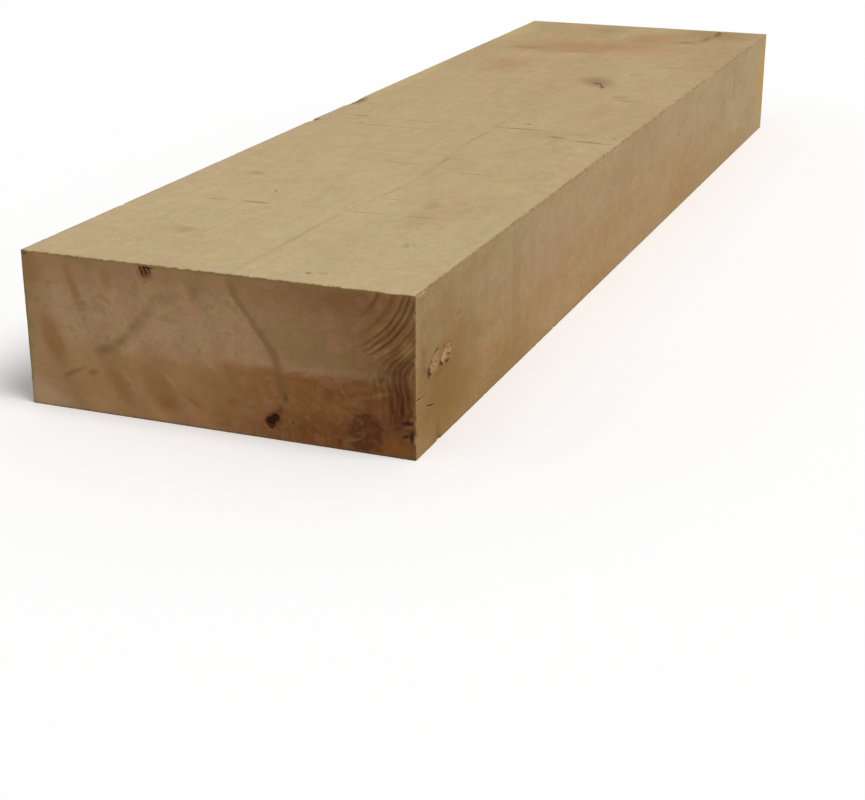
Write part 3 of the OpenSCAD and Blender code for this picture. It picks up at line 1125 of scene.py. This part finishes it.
# The burl, with a ragged edge and with darker and lighter flecks
burl_edge = bumps(spot, (4.4, 9, 4.4), 3, 0.62, 0.8, shift=33)
burl = worked("MULTIPLY", stain("small", "front", 98, 12, 15, 17, -20, 1.0, 0.5), 0.8)
burl = worked("MULTIPLY", burl, between(burl_edge, 0.36, 0.58, 0.35, 1))
cut = mixed(burl, cut, colour(94, 52, 28))
cut = stained(cut, colour(92, 50, 28), [
    ("small", "front", 98, 23.5, 10, 2.4, 8, 0.7),
    ("small", "front", 107, 18, 2.4, 5, 30, 0.7),
    ("small", "front", 91, 17, 2.4, 4, 0, 0.6),
    ("fine", "front", 121.5, 31, 2.0, 9, 3, 0.55),
    ("fine", "front", 116, 28, 1.6, 5, 10, 0.6),
    ("fine", "front", 118.7, 18.6, 4, 1.7, 20, 0.8),
    ("fine", "front", 93, 8.5, 1.2, 4, 10, 0.6),
    ("small", "front", 82, 5, 3, 4, 0, 0.5),
])
cut = stained(cut, colour(150, 110, 76), [
    ("fine", "front", 90, 7.2, 8, 1.7, 18, 0.8),
    ("fine", "front", 125, 20, 4.4, 1.4, 8, 0.7),
    ("fine", "front", 125.4, 12, 2.6, 2, 0, 0.6),
    ("fine", "front", 96, 19, 2, 3, 0, 0.4),
    ("fine", "front", 97, 12, 1.5, 4, 10, 0.35),
])

# The year that stands out, and duller wood that rises to the right
main_there = worked("MULTIPLY", between(up, 18, 28), between(up, 101, 92))
main_there = worked("MULTIPLY", main_there, between(soft_main, 4, 1, 0, 0.55))
cut = mixed(main_there, cut, colour(137, 101, 61))
cut = stained(cut, colour(140, 106, 66), [
    ("fine", "front", -75, 42.5, 11, 6, 22, 0.66),
    ("fine", "front", -62, 50.5, 14, 5, 36, 0.5),
    ("fine", "front", -52, 60.5, 15, 5.4, 50, 0.4),
    ("fine", "front", -43, 71, 15, 5.6, 48, 0.36),
    ("fine", "front", -29, 79.5, 16, 5.4, 24, 0.3),
    ("fine", "front", -99, 24.5, 15, 2.6, 27, 0.6),
    ("fine", "front", -84, 26.5, 6, 3.4, 22, 0.6),
    ("small", "front", -12, 86, 6, 8, 0, 0.35),
])

# A lighter spot by the right edge
cut = stained(cut, colour(200, 160, 92), [
    ("small", "front", 125, 67, 7, 11, -30, 0.38),
    ("fine", "front", 123, 64.5, 4, 3, 0, 0.35),
])

# Brown round the knot hole and the bark pocket
cut = stained(cut, colour(92, 50, 34), [
    ("fine", "front", 38.5, 13, 9.5, 7.5, 42, 0.9),
    ("small", "front", 43, 18.5, 4.5, 7, -30, 0.6),
    ("fine", "front", 51.7, 12.8, 1.8, 1.8, 0, 0.7),
    ("fine", "front", 46, 2, 1, 0.9, 0, 0.8),
    ("small", "front", 47, 27, 3, 5, 0, 0.5),
    ("fine", "front", -43.5, 95, 7.4, 6.6, -30, 0.8),
    ("fine", "front", -43.5, 88.6, 1.4, 0.8, 0, 0.6),
])

# Olive along the edges
cut = stained(cut, colour(150, 132, 72), [
    ("fine", "front", -90, 99.2, 42, 1.5, 0, 0.5),
    ("fine", "front", -45, 99.2, 12, 1.6, 0, 0.8),
    ("fine", "front", 5, 99.1, 40, 1.7, 0, 0.65),
    ("fine", "front", 80, 99.1, 50, 2.0, 0, 0.65),
    ("small", "front", -129.5, 50, 3, 60, 0, 0.55),
    ("fine", "front", 129.4, 50, 1.0, 50, 0, 0.5),
])

# Black over the bark pocket, beside the burl and in the top left corner
cut = stained(cut, colour(58, 30, 18), [
    ("fine", "front", -41, 97.9, 8, 1.0, 0, 0.85),
    ("fine", "front", 125, 22.6, 7, 2.2, 8, 0.95),
    ("fine", "front", 127.4, 14.5, 2.4, 6.4, 0, 0.95),
    ("fine", "front", 123.6, 14.2, 4, 1.7, 20, 0.9),
    ("fine", "front", 125.5, 38.7, 3.4, 0.4, -14, 0.6),
    ("fine", "front", -127.5, 98, 2.5, 2, 0, 0.6),
])

# The rings round the burl go over all of that.
curls = total(1.0, swing(curl_lines, 0.88), swing(fine_curls, 1.0))
curls = worked("MULTIPLY_ADD", curled, worked("SUBTRACT", curls, 1.0), 1.0)
cut = brightened(cut, curls)
colour_now = mixed(end, flat, cut)

# Marks that cross from face to face, painted shade on the frayed edges, painted highlights on the
# front top edge and the torn splinters, and painted shade inside the pits.
colour_now = stained(colour_now, colour(94, 71, 40), [
    ("fine", "top", 43, 159, 6.4, 5, -20, 0.85),
    ("fine", "top", 52.5, 141, 3.8, 6.6, 0, 0.9),
    ("fine", "top", -50, -311, 1.1, 4.5, 20, 0.75),
    ("small", "top", -127, 4, 9, 24, 0, 0.75),
    ("small", "top", -128.5, -80, 6, 9, 0, 0.8),
    ("fine", "top", -88, -78.5, 5, 2.4, 0, 0.5),
    ("fine", "right", 117, 68, 6, 1.3, 0, 0.75),
])
# Frayed fibres along the arrises, darkened with painted shade that damps the light their round
# catches.
frayed = bumps(spot, (2.4, 4, 2.4), 3, 0.6, shift=61)
edge_fray_and_shade = worked("MULTIPLY", arris, between(frayed, 0.45, 0.58, 0.15, 0.75))
colour_now = mixed(edge_fray_and_shade, colour_now, colour(130, 104, 64))
# A painted highlight along the top edge of the front end, broken into specks; it also stands for
# pale fibres that the cross-cut left.
front_lip_highlight = worked("MULTIPLY", arris, between(up, top - 0.9, top - 0.1))
front_lip_highlight = worked("MULTIPLY", front_lip_highlight, between(along, front + 2.4, front + 0.8))
lip_breaks = bumps(spot, (6, 5, 5), 3, 0.65, 0.6, shift=67)
front_lip_highlight = worked("MULTIPLY", front_lip_highlight, between(lip_breaks, 0.48, 0.62, 0, 0.7))
colour_now = mixed(front_lip_highlight, colour_now, colour(214, 196, 146))
# Painted highlight on the lifted splinters of the torn grain.
colour_now = mixed(worked("MULTIPLY", splinter_highlight, 0.6), colour_now, colour(218, 186, 142))
# Painted shade deep in the knot hole, the bark pocket, the cracks, the split and the torn grain.
colour_now = mixed(worked("MULTIPLY", pit_shade, 0.85), colour_now, colour(82, 44, 26))
put(shader.inputs["Base Color"], colour_now)

# The relief that is too fine for the mesh: fuzz across the grain and fibres along it.
fuzz_height = total(
    worked("MULTIPLY", strokes, 0.6),
    worked("MULTIPLY", fibres, 0.5),
    worked("MULTIPLY", bumps(spot, (1.2, 0.7, 1.2), 2, 0.6, shift=71), 0.5),
)
relief = tree.nodes.new("ShaderNodeBump")
relief.inputs["Strength"].default_value = 0.35
relief.inputs["Distance"].default_value = 0.0004
put(relief.inputs["Height"], fuzz_height)
put(shader.inputs["Normal"], relief.outputs["Normal"])
block.materials.append(wood)
